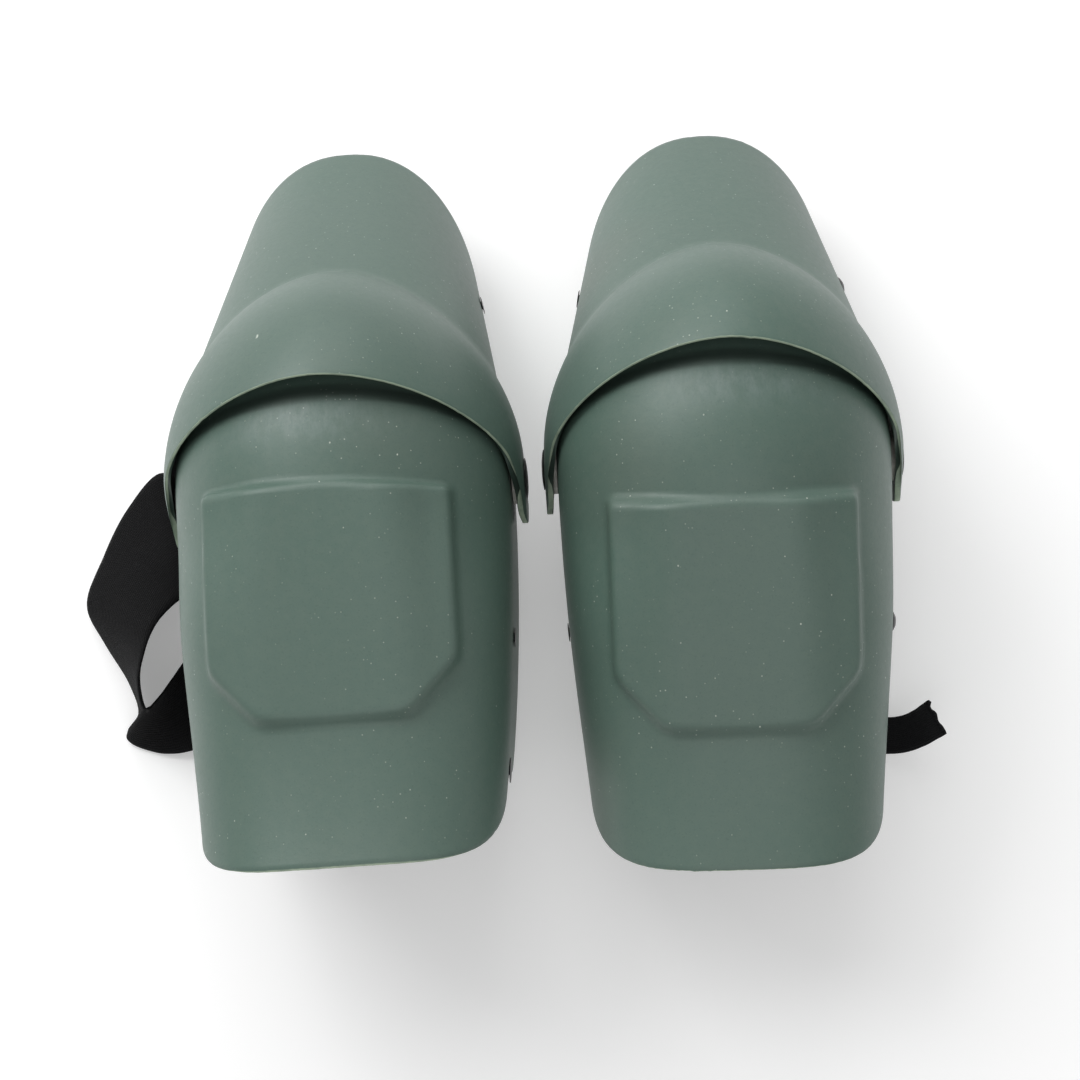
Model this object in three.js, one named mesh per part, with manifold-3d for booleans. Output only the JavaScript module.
// Pair of hinged hard-shell knee pads (left and right), lying front-up on the floor.
// Each pad: a shin shell with a round knee dome, a thigh shell whose flared hood
// covers the dome and turns on two side pivots, foam liners, and three straps.
// Pad frame: pivot axis = X, +Y towards the thigh, +Z out of the kneecap, millimetres.
// Every pad is drawn with its outer side at +X and mirrored for the left leg.
import * as THREE from 'three';
import { mergeVertices } from 'three/addons/utils/BufferGeometryUtils.js';
import Module from 'manifold-3d';

const wasm = await Module();
wasm.setup();

// ---- driving dimensions: millimetres and radians ----
const WALL = 2.6; // shell wall
const GAP = 0.5; // clearance between stacked parts
const SHIN = {
  radius: 84.2, length: 152, baseZ: 12,
  heightSquare: -57.6, heightCube: 50.6, // terms of the height along the shin
  topHalfWidth: 72.5, endHalfWidth: 63.2, widthCube: 0.6,
  domePower: 1.98, shinPower: 2.7, powerStart: 22, powerRun: 55, // section roundness
  taper: 0.03, taperMax: 1.3, taperStart: 30, taperRun: 40, // narrowing over the dome
  topAngle: 1.19, lineRadius: 80, // section lines over the dome
  rearZ: -28, rearEndZ: -30, rearTopY: 22, rearTopRise: 10, // rear edge
  bow: 13, sideCut: 37, cutZ: 77, cutRun: 92, // rounded lower end
};
// Raised plate on the front of the shin shell
const PLATE = {
  halfWidth: 49.8, topY: -13.2, endY: -104.2, topArch: 2, chamfer: 19.4, chamferTrim: 0.1,
  height: 3, ramp: 4.8, softness: 2.2, minZ: 20,
  z: 81.6, tilt: 0.108, levelY: -60, // flat face
  sideFlatness: 0.3, middle: 18, middleRun: 24, // flatness fades outside the middle
};
const HOOD = {
  radius: 96.8, halfWidth: 78.4, baseZ: 10, power: 1.8,
  lowAngle: -0.38, topAngle: 0.42,
  tipLean: 1.2, tipY: -10, tipRunY: 8, tipZ: 36, tipRunZ: 24,
};
const TUBE = {
  startY: 20, endY: 165, halfWidth: 71.9, endHalfWidth: 54.9, height: 80.4, endHeight: 75.8,
  baseZ: 11.4, power: 2.25, closing: 0.05, blend: 0.05,
  lineZ: 84, lineSlope: 0.07, rearCut: 47.466667,
};
// Rear edge of the thigh shell, [y, z]: round the ear, then straight to the corner
const EAR = [[-13, 6], [-15.5, -5], [-11, -16], [-1, -22.5], [14, -24.5]];
const REAR_CORNER = [TUBE.endY - TUBE.rearCut, -10];
const FOAM = { shin: 11, knee: 15, thigh: 10, gap: 1.5 };
const PIVOT = { radius: 4, head: 9, headHeight: 1.4, headGap: 0.35, play: 0.3, segments: 14 };
const RIVET = {
  radius: 2, head: 5.4, domedHeight: 3.2, flatHeight: 1.1, play: 0.3, segments: 10,
  tail: 3.4, ankleTail: 3.6, tailHeight: 1.2, tailTaper: 0.4,
};
const RIVET_CROWN = [[0, 1], [0.45, 0.93], [0.82, 0.6]]; // fractions of [head radius, height]
const WASHER = { radius: 6, play: 0.35, thickness: 1, tailGap: 0.45 };
const DRILL_DEPTH = 12;
const STRAP = { thickness: 2, tabThickness: 1.4, tabInset: 3, patchInset: 3, patchThickness: 0.9 };
// barReach: half-diagonal of a bar plus clearance
const BUCKLE = {
  inset: 6.6, thickness: 2.4, bar: 3.2, sideGap: 1.6, barReach: 2.1, cornerRadius: 3, slotRadius: 1.2,
};
const ANKLE = { y: -128, width: 17, thickness: 1.8, rivetZ: 6, wallGap: 1.3, tailGap: 0.9 };
const POSE = {
  left: { x: -82.8, y: 0, yaw: 0.0156, roll: -0.037, pitch: 0.092, flex: 0.668 },
  right: { x: 83.05, y: 5.05, yaw: -0.022, roll: -0.040, pitch: 0.324, flex: 0.930 },
};
const PIVOT_LIFT = 77.53; // pivot height above the floor
const PAIR_OFFSET = [18.386, -4.296, 0]; // puts the origin under the middle of the pair

const FINISH = {
  shell: { color: 0x6f8479, roughness: 0.5 },
  foam: { color: 0x1b1c1d, roughness: 0.95 },
  webbing: { color: 0x1a1a1c, roughness: 0.9 },
  hardware: { color: 0x141415, roughness: 0.45 },
  steel: { color: 0x8c8f92, roughness: 0.35, metalness: 0.9 },
  nylon: { color: 0xd8d8d2, roughness: 0.5 },
  hook: { color: 0x232325, roughness: 1 },
};

const vec = (x, y, z) => new THREE.Vector3(x, y, z);
const clamp = (t, low = 0, high = 1) => Math.min(high, Math.max(low, t));
const mix = (a, b, t) => a + (b - a) * t;
const smooth = t => {
  const c = clamp(t);
  return c * c * (3 - 2 * c);
};
const softMin = (a, b, blend) => {
  const h = clamp(0.5 + 0.5 * (b - a) / blend);
  return b * (1 - h) + a * h - blend * h * (1 - h);
};

// ---- outer surfaces as implicit functions, negative inside ----
const superellipse = (across, up, power) =>
  Math.pow(Math.abs(across), power) + Math.pow(up, power) - 1;

function shinSurface({ x, y, z }) {
  const t = clamp(-y / SHIN.length, 0, 1.3);
  const height = SHIN.radius + SHIN.heightSquare * t * t + SHIN.heightCube * t * t * t;
  const radial = Math.hypot(y, z);
  const angle = y > 0
    ? Math.atan2(y, Math.max(z, 1e-3)) * smooth((radial - SHIN.taperStart) / SHIN.taperRun)
    : 0;
  const power = mix(SHIN.domePower, SHIN.shinPower, smooth((-y - SHIN.powerStart) / SHIN.powerRun));
  const narrowing = t * t * (1 + SHIN.widthCube - SHIN.widthCube * t);
  const halfWidth = mix(SHIN.topHalfWidth, SHIN.endHalfWidth, narrowing)
    * (1 - SHIN.taper * Math.min(angle, SHIN.taperMax) ** 2);
  const up = Math.max((y > 0 ? radial : z) - SHIN.baseZ, 0) / (height - SHIN.baseZ);
  return superellipse(x / halfWidth, up, power);
}

function hoodSurface({ x, y, z }) {
  // the ear tips lean in
  const lean = smooth((-y + HOOD.tipY) / HOOD.tipRunY) * smooth((HOOD.tipZ - z) / HOOD.tipRunZ);
  const radial = Math.hypot(y, Math.max(z, 0));
  const up = Math.max(radial - HOOD.baseZ, 0) / (HOOD.radius - HOOD.baseZ);
  return superellipse(x / (HOOD.halfWidth - HOOD.tipLean * lean), up, HOOD.power);
}

function tubeSurface({ x, y, z }) {
  const t = (y - TUBE.startY) / (TUBE.endY - TUBE.startY);
  const height = mix(TUBE.height, TUBE.endHeight, t);
  const up = Math.max(z - TUBE.baseZ, 0) / (height - TUBE.baseZ);
  return superellipse(x / mix(TUBE.halfWidth, TUBE.endHalfWidth, t), up, TUBE.power)
    + Math.max(TUBE.startY - y, 0) * TUBE.closing;
}

const thighSurface = point => softMin(hoodSurface(point), tubeSurface(point), TUBE.blend);

// Point where a ray from inside leaves the surface, found by bisection.
function cast(surface, origin, direction) {
  const at = distance => origin.clone().addScaledVector(direction, distance);
  let low = 0, high = 130;
  for (let i = 0; i < 24; i++) {
    const middle = (low + high) / 2;
    if (surface(at(middle)) < 0) low = middle;
    else high = middle;
  }
  return at((low + high) / 2);
}

function surfaceNormal(surface, point, step = 0.4) {
  const slope = (...axis) => {
    const offset = vec(...axis).multiplyScalar(step);
    return surface(point.clone().add(offset)) - surface(point.clone().sub(offset));
  };
  return vec(slope(1, 0, 0), slope(0, 1, 0), slope(0, 0, 1)).normalize();
}

// ---- section lines: [front, rear] points of each cross-section, as [y, z] ----
function shinLines(shinCount, domeCount, startY, topAngle) {
  const lines = [];
  for (let i = 0; i < shinCount; i++) {
    const y = startY * (1 - i / (shinCount - 1));
    lines.push([[y, SHIN.lineRadius], [y, mix(SHIN.rearZ, SHIN.rearEndZ, -y / SHIN.length)]]);
  }
  for (let i = 1; i < domeCount; i++) {
    const t = i / (domeCount - 1), angle = topAngle * t;
    lines.push([
      [SHIN.lineRadius * Math.sin(angle), SHIN.lineRadius * Math.cos(angle)],
      [SHIN.rearTopY * t, SHIN.rearZ + SHIN.rearTopRise * t * t],
    ]);
  }
  return lines;
}

function thighLines(hoodCount, tubeCount) {
  const front = [], rear = [...EAR];
  for (let i = 0; i < hoodCount; i++) {
    const angle = mix(HOOD.lowAngle, HOOD.topAngle, i / (hoodCount - 1));
    front.push([HOOD.radius * Math.sin(angle), HOOD.radius * Math.cos(angle)]);
  }
  const hoodTopY = front[hoodCount - 1][0];
  for (let i = 1; i <= tubeCount; i++) {
    const y = mix(hoodTopY, TUBE.endY, i / tubeCount);
    front.push([y, TUBE.lineZ - (y - TUBE.startY) * TUBE.lineSlope]);
  }
  const earEnd = EAR[EAR.length - 1], straight = front.length - EAR.length;
  for (let i = 1; i <= straight; i++) {
    rear.push([0, 1].map(k => mix(earEnd[k], REAR_CORNER[k], i / straight)));
  }
  return front.map((point, i) => [point, rear[i]]);
}

// Rows of 2 * halfCount + 1 {point, normal}, spread evenly along each section's arc;
// fraction keeps the middle part.
function sections(surface, lines, halfCount, fraction = 1) {
  const fan = 40, side = 20; // rays round the front half and down to the rear point
  return lines.map(([front, rear]) => {
    const rearPoint = vec(0, ...rear), frontPoint = vec(0, ...front);
    const middle = rearPoint.clone().lerp(frontPoint, 0.5);
    const forward = frontPoint.clone().sub(rearPoint).normalize();
    const trace = [];
    for (let i = 0; i < fan; i++) {
      const angle = Math.PI / 2 * i / (fan - 1), along = Math.cos(angle);
      const direction = vec(Math.sin(angle), along * forward.y, along * forward.z);
      trace.push(cast(surface, middle, direction));
    }
    for (let i = 1; i <= side; i++) {
      trace.push(cast(surface, middle.clone().lerp(rearPoint, i / side), vec(1, 0, 0)));
    }
    trace[0].x = 0;
    const length = [0];
    for (let i = 1; i < trace.length; i++) {
      length.push(length[i - 1] + trace[i].distanceTo(trace[i - 1]));
    }
    const total = length[length.length - 1] * fraction, half = [];
    for (let j = 0, k = 0; j <= halfCount; j++) {
      const target = total * j / halfCount;
      while (k < trace.length - 2 && length[k + 1] < target) k++;
      const t = clamp((target - length[k]) / (length[k + 1] - length[k] || 1));
      half.push(trace[k].clone().lerp(trace[k + 1], t));
    }
    const row = [];
    for (let j = -halfCount; j <= halfCount; j++) {
      const point = half[Math.abs(j)].clone();
      if (j < 0) point.x *= -1;
      row.push({ point, normal: surfaceNormal(surface, point) });
    }
    return row;
  });
}

// Share of the plate's height at (x, y), 0 to 1, with softly rounded outline corners.
function plateShare(x, y) {
  const across = Math.abs(x), side = across - PLATE.halfWidth;
  const arch = PLATE.topY - PLATE.topArch * (1 - (across / PLATE.halfWidth) ** 2);
  const edges = [
    side, y - arch, PLATE.endY - y,
    (side + (PLATE.endY + PLATE.chamfer - y)) * Math.SQRT1_2 + PLATE.chamferTrim,
  ];
  const sum = edges.reduce((total, edge) => total + Math.exp(edge / PLATE.softness), 0);
  return smooth(0.5 - Math.log(sum) * PLATE.softness / PLATE.ramp);
}

// The lower end is a rounded tongue: lowest in front, rising along the sides.
function endLift(y, z) {
  const t = clamp(-y / SHIN.length);
  return t * t * t * (SHIN.sideCut * smooth((SHIN.cutZ - z) / SHIN.cutRun) - SHIN.bow);
}

function shapeShin(moved, { point, normal }, depth) {
  const lift = endLift(point.y, point.z);
  if (point.z > PLATE.minZ) {
    const share = plateShare(point.x, point.y);
    moved.addScaledVector(normal, PLATE.height * share);
    // flat along the middle, a little flatter than the shin at the sides
    const flatZ = PLATE.z + PLATE.tilt * (moved.y + lift - PLATE.levelY) - depth;
    const fade = smooth((Math.abs(point.x) - PLATE.middle) / PLATE.middleRun);
    moved.z += (flatZ - moved.z) * share * mix(1, PLATE.sideFlatness, fade);
  }
  moved.y += lift;
}

function shapeShinFoam(moved, { point }) {
  moved.y += endLift(point.y, point.z);
  if (point.y > -14) moved.y = Math.min(moved.y, -12); // stays below the knee cushion
}

// Sheet under a section grid, starting at depth `start`, reshaped by `adjust`.
function liner(grid, start, thickness, adjust = () => {}) {
  const layer = depth => grid.map(row => row.map(sample => {
    const moved = sample.point.clone().addScaledVector(sample.normal, -depth);
    adjust(moved, sample, depth);
    return moved;
  }));
  return slab(layer(start), layer(start + thickness));
}

// ---- solids ----
// Indexed geometry with its faces turned outwards.
function solid(points, triangles) {
  let volume = 0;
  for (let i = 0; i < triangles.length; i += 3) {
    const [a, b, c] = triangles.slice(i, i + 3).map(k => points[k]);
    volume += a.dot(b.clone().cross(c));
  }
  if (volume < 0) flip(triangles);
  const geometry = new THREE.BufferGeometry();
  const positions = points.flatMap(p => [p.x, p.y, p.z]);
  geometry.setAttribute('position', new THREE.Float32BufferAttribute(positions, 3));
  geometry.setIndex(triangles);
  return geometry;
}

function flip(triangles) {
  for (let i = 0; i < triangles.length; i += 3) {
    [triangles[i + 1], triangles[i + 2]] = [triangles[i + 2], triangles[i + 1]];
  }
}

// Closed sheet between two equal grids.
function slab(gridA, gridB) {
  const lastRow = gridA.length - 1, columns = gridA[0].length, lastColumn = columns - 1;
  const triangles = [], id = (i, j, layer) => (layer * (lastRow + 1) + i) * columns + j;
  const quad = (...corners) => {
    const [a, b, c, d] = corners.map(corner => id(...corner));
    triangles.push(a, b, c, a, c, d);
  };
  for (let i = 0; i < lastRow; i++) for (let j = 0; j < lastColumn; j++) {
    quad([i, j, 0], [i, j + 1, 0], [i + 1, j + 1, 0], [i + 1, j, 0]);
    quad([i, j, 1], [i + 1, j, 1], [i + 1, j + 1, 1], [i, j + 1, 1]);
  }
  for (let j = 0; j < lastColumn; j++) {
    quad([0, j, 0], [0, j, 1], [0, j + 1, 1], [0, j + 1, 0]);
    quad([lastRow, j, 0], [lastRow, j + 1, 0], [lastRow, j + 1, 1], [lastRow, j, 1]);
  }
  for (let i = 0; i < lastRow; i++) {
    quad([i, 0, 0], [i + 1, 0, 0], [i + 1, 0, 1], [i, 0, 1]);
    quad([i, lastColumn, 0], [i, lastColumn, 1], [i + 1, lastColumn, 1], [i + 1, lastColumn, 0]);
  }
  return solid([...gridA.flat(), ...gridB.flat()], triangles);
}

// Flat band between two edge rails.
function band(railA, railB, thickness) {
  const faceA = [], faceB = [];
  railA.forEach((a, i) => {
    const b = railB[i], before = Math.max(i - 1, 0), after = Math.min(i + 1, railA.length - 1);
    const along = railA[after].clone().add(railB[after]).sub(railA[before]).sub(railB[before]);
    const offset = along.cross(b.clone().sub(a)).normalize().multiplyScalar(thickness / 2);
    faceA.push([a.clone().add(offset), b.clone().add(offset)]);
    faceB.push([a.clone().sub(offset), b.clone().sub(offset)]);
  });
  return slab(faceA, faceB);
}

const curve = (points, steps) =>
  new THREE.CatmullRomCurve3(points, false, 'centripetal').getPoints(steps);

// Smooth band through stations [centre, direction across the band].
function ribbon(stations, width, thickness, steps) {
  const edge = side => curve(stations.map(([centre, across]) =>
    vec(...centre).addScaledVector(vec(...across).normalize(), side * width / 2)), steps);
  return band(edge(1), edge(-1), thickness);
}

// Welds vertices and drops collapsed triangles.
function clean(source) {
  const bare = source.clone();
  bare.deleteAttribute('normal');
  bare.deleteAttribute('uv');
  const welded = mergeVertices(bare, 1e-4), index = welded.index.array;
  const position = welded.attributes.position, points = [], kept = [];
  for (let i = 0; i < index.length; i += 3) {
    const [a, b, c] = index.slice(i, i + 3);
    if (a !== b && b !== c && a !== c) kept.push(a, b, c);
  }
  for (let i = 0; i < position.count; i++) points.push(vec().fromBufferAttribute(position, i));
  return solid(points, kept);
}

function toManifold(source) {
  const geometry = clean(source);
  return new wasm.Manifold(new wasm.Mesh({
    numProp: 3,
    vertProperties: new Float32Array(geometry.attributes.position.array),
    triVerts: new Uint32Array(geometry.index.array),
  }));
}

function cut(source, ...tools) {
  const result = tools.reduce((body, tool) => body.subtract(toManifold(tool)), toManifold(source));
  const mesh = result.getMesh(), geometry = new THREE.BufferGeometry();
  geometry.setAttribute('position', new THREE.Float32BufferAttribute(mesh.vertProperties, 3));
  geometry.setIndex([...mesh.triVerts]);
  return geometry;
}

// Turned part: profile of [radius, height], height outwards along the frame's Y axis.
function turned(profile, frame, segments = RIVET.segments) {
  const points = profile.map(([radius, height]) => new THREE.Vector2(radius, height));
  return clean(new THREE.LatheGeometry(points, segments)).applyMatrix4(frame);
}

function ring(frame, inner, outer, top, bottom, segments) {
  const profile = [[inner, top], [outer, top], [outer, bottom], [inner, bottom], [inner, top]];
  return turned(profile, frame, segments);
}

function drill(frame, { radius, play, segments } = RIVET, top = 4) {
  const r = radius + play;
  return turned([[0, top], [r, top], [r, -DRILL_DEPTH], [0, -DRILL_DEPTH]], frame, segments);
}

// Strap rivet: crown outside the wall, shank down to `end`, small tail below it.
function rivet(frame, crown, end, tail = RIVET.tail) {
  const { head, radius, tailHeight, tailTaper } = RIVET;
  return turned([
    ...crown, [head, GAP], [radius, GAP], [radius, end],
    [tail, end], [tail - tailTaper, end - tailHeight], [0, end - tailHeight],
  ], frame);
}

// Frame at a point whose Y axis is the outward normal.
function frameAt(point, outward) {
  const y = outward.clone().normalize();
  const x = vec(0, 1, 0).addScaledVector(y, -y.y).normalize();
  return new THREE.Matrix4().makeBasis(x, y, x.clone().cross(y)).setPosition(point);
}

// ---- places on a shell's side wall ----
// Point on the +X wall at (y, z); the shin's height is traced back through its end cut.
function wallPoint(surface, y, z) {
  let uncutY = y;
  if (surface === shinSurface) for (let i = 0; i < 8; i++) uncutY = y - endLift(uncutY, z);
  const point = cast(surface, vec(0, uncutY, z), vec(1, 0, 0));
  return { point, normal: surfaceNormal(surface, point) };
}

function innerWallX(surface, y, z) {
  const { point, normal } = wallPoint(surface, y, z);
  return point.x - WALL / normal.x;
}

const wallSlope = (surface, y, reach) =>
  (innerWallX(surface, y + reach, 0) - innerWallX(surface, y - reach, 0)) / (2 * reach);

function wallFrame(surface, y, z, side) {
  const { point, normal } = wallPoint(surface, y, z);
  return frameAt(vec(side * point.x, y, point.z), vec(side * normal.x, normal.y, normal.z));
}

// ---- pieces: each add function fills name -> [geometry, finish] and returns its drills ----
function addShinFoams(pieces) {
  const shinGrid = sections(shinSurface, shinLines(8, 1, -SHIN.length + 2.5, 0), 6, 0.56);
  pieces.shin_foam = [liner(shinGrid, WALL + FOAM.gap, FOAM.shin, shapeShinFoam), FINISH.foam];
  const kneeGrid = sections(shinSurface, shinLines(2, 5, -2, 1.10).slice(1), 5, 0.56);
  pieces.knee_cushion = [liner(kneeGrid, WALL + FOAM.gap, FOAM.knee), FINISH.foam];
}

function addThighFoam(pieces) {
  const endLine = [[157, 76], [REAR_CORNER[0] - 6, REAR_CORNER[1]]];
  const grid = sections(thighSurface, [...thighLines(8, 8).slice(9, 15), endLine], 6, 0.52);
  pieces.thigh_foam = [liner(grid, WALL + FOAM.gap, FOAM.thigh), FINISH.foam];
}

// Side pivots: shouldered rivet, steel washer inside, nylon spacer between the shells.
function addPivots(pieces) {
  const { radius, head, headHeight, headGap, play, segments } = PIVOT;
  const spread = HOOD.halfWidth - SHIN.topHalfWidth, inside = -(spread + WALL);
  const tail = inside - 1.9, bore = radius + play;
  return [[1, 'outer'], [-1, 'inner']].map(([side, name]) => {
    const frame = frameAt(vec(side * HOOD.halfWidth, 0, 0), vec(side, 0, 0));
    pieces['pivot_rivet_' + name] = [turned([
      [0, headHeight], [5, headHeight - 0.1], [7.8, 0.9], [head, headGap], [radius, headGap],
      [radius, tail], [6.2, tail], [5.4, tail - 1.3], [0, tail - 1.5],
    ], frame, segments), FINISH.hardware];
    pieces['pivot_washer_' + name] = [
      ring(frame, bore, 10, inside - 0.35, inside - 1.55, segments), FINISH.steel];
    pieces['pivot_spacer_' + name] = [
      ring(frame, bore, 11, -WALL - 0.6, -spread + 0.32, segments), FINISH.nylon];
    return drill(frame, PIVOT, 3);
  });
}

// Buckle straps: y of the centre line; z of rivets, strap ends, upper buckle bar and
// the strap's rear run; slot height; lean of the rear run.
const CALF = {
  name: 'calf_strap', surface: shinSurface, y: -72, width: 50,
  rivetZ: 11, endZ: 18, barZ: -4.5, slot: 13, backZ: -38, lean: 0,
};
const THIGH = {
  name: 'thigh_strap', surface: thighSurface, y: 101, width: 38,
  rivetZ: 26, endZ: 32, barZ: 11, slot: 8, backZ: -12, lean: 0.42,
};
// Slack loop of the left calf strap: [x, y, z] of its two edges, +Y edge first at the start
const SLACK_LOOP = [
  [[-35, -44, -40], [-35, -92, -38]], [[5, -36, -52], [5, -78, -39]],
  [[38, -26, -66], [38, -58, -38]], [[60, -24, -71], [60, -46, -37]],
  [[79, -18, -72], [78, -43, -35]], [[88, 6, -70], [80.6, -41, -32]],
  [[100, 23, -66], [80.6, -37.5, -27]], [[114.8, 11.8, -64.4], [84, -40, -23.5]],
  [[128.3, -10.6, -63.1], [90.1, -46.4, -20.7]], [[135.8, -31.9, -63], [94.4, -53.3, -19]],
  [[127.6, -50.6, -63.6], [97.4, -63.4, -16]], [[116.2, -70.3, -64.1], [99.6, -76, -14.9]],
  [[112.1, -84.8, -64], [98.4, -87.8, -19.7]], [[113.4, -97.1, -63.1], [95.8, -84.1, -28.3]],
  [[100.5, -103, -63.3], [89.5, -73.2, -35.4]], [[86.4, -104.2, -58.8], [81.9, -61.2, -40.8]],
  [[75.5, -100, -53], [74.5, -55, -43]],
];

// Rounded loop standing along the wall.
function buckle({ width, y, barZ, lowerZ, slope, buckleX }) {
  const { thickness, bar, sideGap, cornerRadius, slotRadius } = BUCKLE;
  const outline = (path, x, low, high, r) => {
    path.moveTo(-x + r, low).lineTo(x - r, low).quadraticCurveTo(x, low, x, low + r);
    path.lineTo(x, high - r).quadraticCurveTo(x, high, x - r, high);
    path.lineTo(-x + r, high).quadraticCurveTo(-x, high, -x, high - r);
    path.lineTo(-x, low + r).quadraticCurveTo(-x, low, -x + r, low);
    return path;
  };
  const slotX = width / 2 + sideGap, half = bar / 2;
  const shape = outline(new THREE.Shape(), slotX + bar, lowerZ - half, barZ + half, cornerRadius);
  shape.holes.push(outline(new THREE.Path(), slotX, lowerZ + half, barZ - half, slotRadius));
  const options = { depth: thickness, bevelEnabled: false, curveSegments: 2 };
  const across = vec(slope, 1, 0).normalize(), up = vec(0, 0, 1), out = across.clone().cross(up);
  const corner = vec(buckleX, y, 0).addScaledVector(out, -thickness / 2);
  return clean(new THREE.ExtrudeGeometry(shape, options))
    .applyMatrix4(new THREE.Matrix4().makeBasis(across, up, out).setPosition(corner));
}

// Strap rows are [x, y shift, z, share of the wall slope followed, lean in z].
// Half turn round a buckle bar, from its +X side; turn -1 passes below it, +1 above.
const foldRows = (barX, barZ, radius, turn) => [1, 2, 3, 4, 5].map(i => {
  const angle = turn * Math.PI * i / 6;
  return [barX + radius * Math.cos(angle), 0, barZ + radius * Math.sin(angle), 1];
});

// Strap riveted inside the -X wall and returned through a buckle at the +X wall.
function addStrap(pieces, strap, slack = false) {
  const { name, surface, y, width, rivetZ, endZ, barZ, slot, backZ, lean } = strap;
  const { thickness, tabThickness, patchInset, patchThickness } = STRAP;
  const wall = z => innerWallX(surface, y, z), sideX = wall(0), slope = wallSlope(surface, y, 8);
  const buckleX = wall(barZ) - BUCKLE.inset, lowerZ = barZ - slot - BUCKLE.bar;
  const lay = (rows, ...sizes) => ribbon(rows.map(([x, shift, z, follow, tilt = 0]) =>
    [[x, y + shift, z], [Math.sign(x) * slope * follow, 1, tilt]]), ...sizes);

  pieces[name + '_buckle'] = [
    buckle({ width, y, barZ, lowerZ, slope, buckleX }), FINISH.hardware];

  // each rivet with a washer under the webbing it holds
  const fasten = (kind, side, height, washerTop) => {
    const frame = wallFrame(surface, y, rivetZ, side);
    const crown = RIVET_CROWN.map(([r, h]) => [r * RIVET.head, h * height]);
    const bottom = washerTop - WASHER.thickness, bore = RIVET.radius + WASHER.play;
    pieces[`${name}_${kind}_rivet`] = [
      rivet(frame, crown, bottom - WASHER.tailGap), FINISH.hardware];
    pieces[`${name}_${kind}_washer`] = [
      ring(frame, bore, WASHER.radius, washerTop, bottom), FINISH.steel];
    return drill(frame);
  };
  const inside = -WALL - GAP * 2;
  const tabDrill = fasten('tab', 1, RIVET.domedHeight, inside - tabThickness * 2 - 0.9);
  const anchorDrill = fasten('anchor', -1, RIVET.flatHeight, inside - thickness - 0.4);

  // webbing tab folded round the upper bar, both legs under the rivet
  const tabRadius = BUCKLE.barReach + GAP + tabThickness / 2;
  const leg = (inset, heights) => heights.map(z => [wall(z) - inset, 0, z, 1]);
  const legZ = [endZ, rivetZ, rivetZ - 7];
  const tab = lay([
    ...leg(GAP + tabThickness / 2, legZ), [buckleX + tabRadius, 0, barZ + 0.5, 1],
    ...foldRows(buckleX, barZ, tabRadius, -1), [buckleX - tabRadius, 0, barZ + 0.5, 1],
    ...leg(GAP * 2 + tabThickness * 1.5 + 0.1, legZ.reverse()),
  ], width - STRAP.tabInset, tabThickness, 22);
  pieces[name + '_buckle_tab'] = [cut(tab, tabDrill), FINISH.webbing];

  // main strap and its returned tail, hook patch between them
  const radius = BUCKLE.barReach + GAP + thickness / 2;
  const foldOut = buckleX + radius, foldIn = buckleX - radius;
  const anchor = [endZ, rivetZ, rivetZ - 8].map(z => [-(wall(z) - GAP - thickness / 2), 0, z, 1]);
  const fold = [
    [foldOut + 0.2, 0, lowerZ - 1, 1], ...foldRows(buckleX, lowerZ, radius, 1),
    [foldIn - 0.2, 0, lowerZ - 1, 1],
  ];
  let main, patch;
  if (slack) {
    const half = width / 2;
    const edges = ([x, , z, follow]) => {
      const shift = slope * Math.sign(x) * follow * half;
      return [[x + shift, y + half, z], [x - shift, y - half, z]];
    };
    const before = [...anchor, [-(sideX - 5), 0, -26, 0.8], [-(sideX - 17), 0, -36, 0.2]];
    const after = [
      [foldOut + 1.1, 0, lowerZ - 8.6, 1], ...fold,
      [foldIn - 3, 0, lowerZ - 7, 0.6], [foldIn - 9, 0, lowerZ - 12, 0.4],
    ];
    const pairs = [...before.map(edges), ...SLACK_LOOP, ...after.map(edges)];
    const rail = k => curve(pairs.map(pair => vec(...pair[k])), 66);
    main = band(rail(0), rail(1), thickness);
    const patchEdge = side => [[6.5, 7.2], [10.6, 10.2]].map(([inward, down]) =>
      vec(foldIn - inward, y + side * (half - patchInset), lowerZ - down));
    patch = band(patchEdge(1), patchEdge(-1), patchThickness);
  } else {
    main = lay([
      ...anchor, [-(sideX - 5), 0, backZ + 12, 0.8, lean * 0.3],
      [-(sideX - 20), 1, backZ + 2, 0.2, lean], [0, 2, backZ, 0, lean],
      [sideX - 26, 1, backZ + 1.2, 0.2, lean], [buckleX - 1, 0, lowerZ - 8.2, 0.7, lean * 0.5],
      ...fold, [foldIn - 5, 0, lowerZ - 4.6, 0.5, lean * 0.5],
      [sideX - 26, 1, backZ + 6.3, 0.2, lean], [sideX - 44, 1.5, backZ + 5.6, 0, lean],
    ], width, thickness, 40);
    patch = lay([
      [sideX - 28, 1, backZ + 3.9, 0.2, lean], [sideX - 35, 1.3, backZ + 3.5, 0.1, lean],
      [sideX - 43, 1.5, backZ + 3, 0, lean],
    ], width - 2 * patchInset, patchThickness, 3);
  }
  pieces[name] = [cut(main, anchorDrill), FINISH.webbing];
  pieces[name + '_hook_patch'] = [patch, FINISH.hook];
  return [tabDrill, anchorDrill];
}

// Free ends of the lower strap, as ribbon stations; the right one comes out under the +X edge
const ANKLE_END = {
  left: [[[56, ANKLE.y, -33.1], [0, 1, 0]]],
  right: [
    [[62, ANKLE.y, -33.3], [0, 1, 0]], [[73, -129, -33.2], [0, 1, 0]],
    [[80, -128, -29], [0, 1, -0.2]], [[87, -124, -21], [-0.2, 1, -0.3]],
    [[92.5, -118, -9], [-0.46, 0.85, -0.25]],
  ],
};

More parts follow.
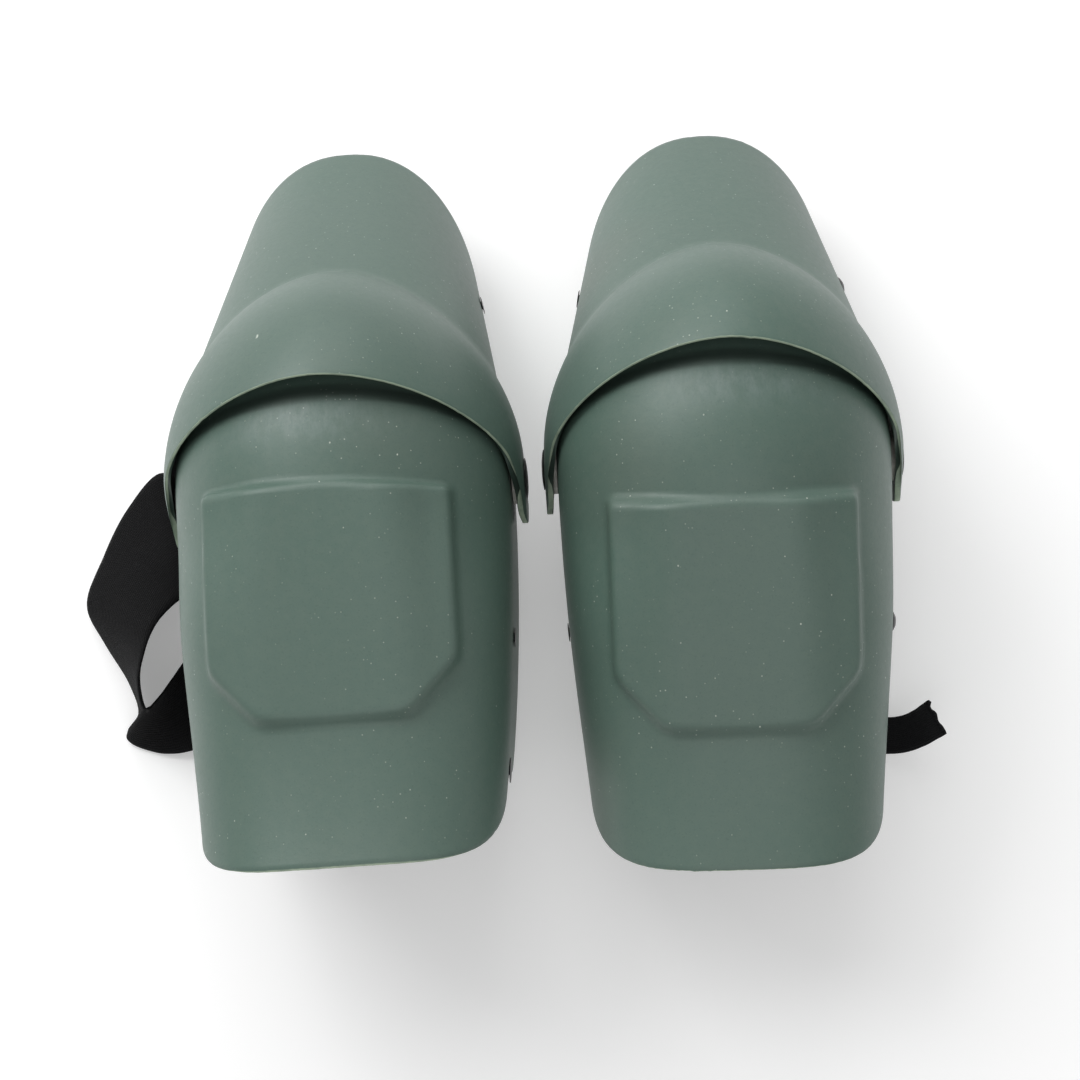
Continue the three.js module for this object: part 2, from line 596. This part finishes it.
// Narrow lower strap riveted inside the -X wall.
function addAnkleStrap(pieces, side) {
  const { y, width, thickness, rivetZ, wallGap, tailGap } = ANKLE;
  const frame = wallFrame(shinSurface, y, rivetZ, -1), hole = drill(frame);
  const slope = wallSlope(shinSurface, y, 6);
  const wallX = z => -(innerWallX(shinSurface, y, z) - GAP - wallGap);
  const stations = [
    ...[[wallX(14), 14], [wallX(6), 6], [wallX(-8), -8], [-56, -22]]
      .map(([x, z]) => [[x, y, z], [-slope, 1, 0]]),
    ...[[-46, -31], [0, -33], [44, -33.1]].map(([x, z]) => [[x, y, z], [0, 1, 0]]),
    ...ANKLE_END[side],
  ];
  pieces.ankle_strap = [cut(ribbon(stations, width, thickness, 30), hole), FINISH.webbing];
  const crown = [[0, RIVET.flatHeight], [RIVET.head * 0.82, 0.9]];
  const end = -WALL - GAP - thickness - tailGap;
  pieces.ankle_strap_rivet = [rivet(frame, crown, end, RIVET.ankleTail), FINISH.hardware];
  return [hole];
}

function shinPieces(side) {
  const pieces = {};
  addShinFoams(pieces);
  const holes = [
    ...addPivots(pieces), ...addStrap(pieces, CALF, side === 'left'), ...addAnkleStrap(pieces, side),
  ];
  const lines = shinLines(13, 6, -SHIN.length, SHIN.topAngle);
  const shell = liner(sections(shinSurface, lines, 10), 0, WALL, shapeShin);
  pieces.shin_shell = [cut(shell, ...holes), FINISH.shell];
  return pieces;
}

function thighPieces() {
  const pieces = {};
  addThighFoam(pieces);
  // the pivot parts belong to the shin; only their drills are used here
  const holes = [...addPivots({}), ...addStrap(pieces, THIGH)];
  const shell = liner(sections(thighSurface, thighLines(7, 7), 10), 0, WALL);
  pieces.thigh_shell = [cut(shell, ...holes), FINISH.shell];
  return pieces;
}

// ---- assembly ----
function addMeshes(group, pieces, side) {
  for (const [name, [geometry, finish]] of Object.entries(pieces)) {
    if (side === 'left') {
      geometry.scale(-1, 1, 1);
      flip(geometry.index.array);
    }
    geometry.computeVertexNormals();
    const mesh = new THREE.Mesh(geometry, new THREE.MeshStandardMaterial(finish));
    mesh.name = side + '_' + name;
    group.add(mesh);
  }
}

const root = new THREE.Group();
root.position.set(...PAIR_OFFSET);
for (const side of ['left', 'right']) {
  const pose = POSE[side], pad = new THREE.Group(), thigh = new THREE.Group();
  pad.position.set(pose.x, pose.y, PIVOT_LIFT);
  pad.rotation.set(pose.pitch, pose.roll, pose.yaw, 'ZYX');
  thigh.rotation.set(-pose.flex, 0, 0);
  pad.add(thigh);
  addMeshes(pad, shinPieces(side), side);
  addMeshes(thigh, thighPieces(), side);
  root.add(pad);
}
export default root;
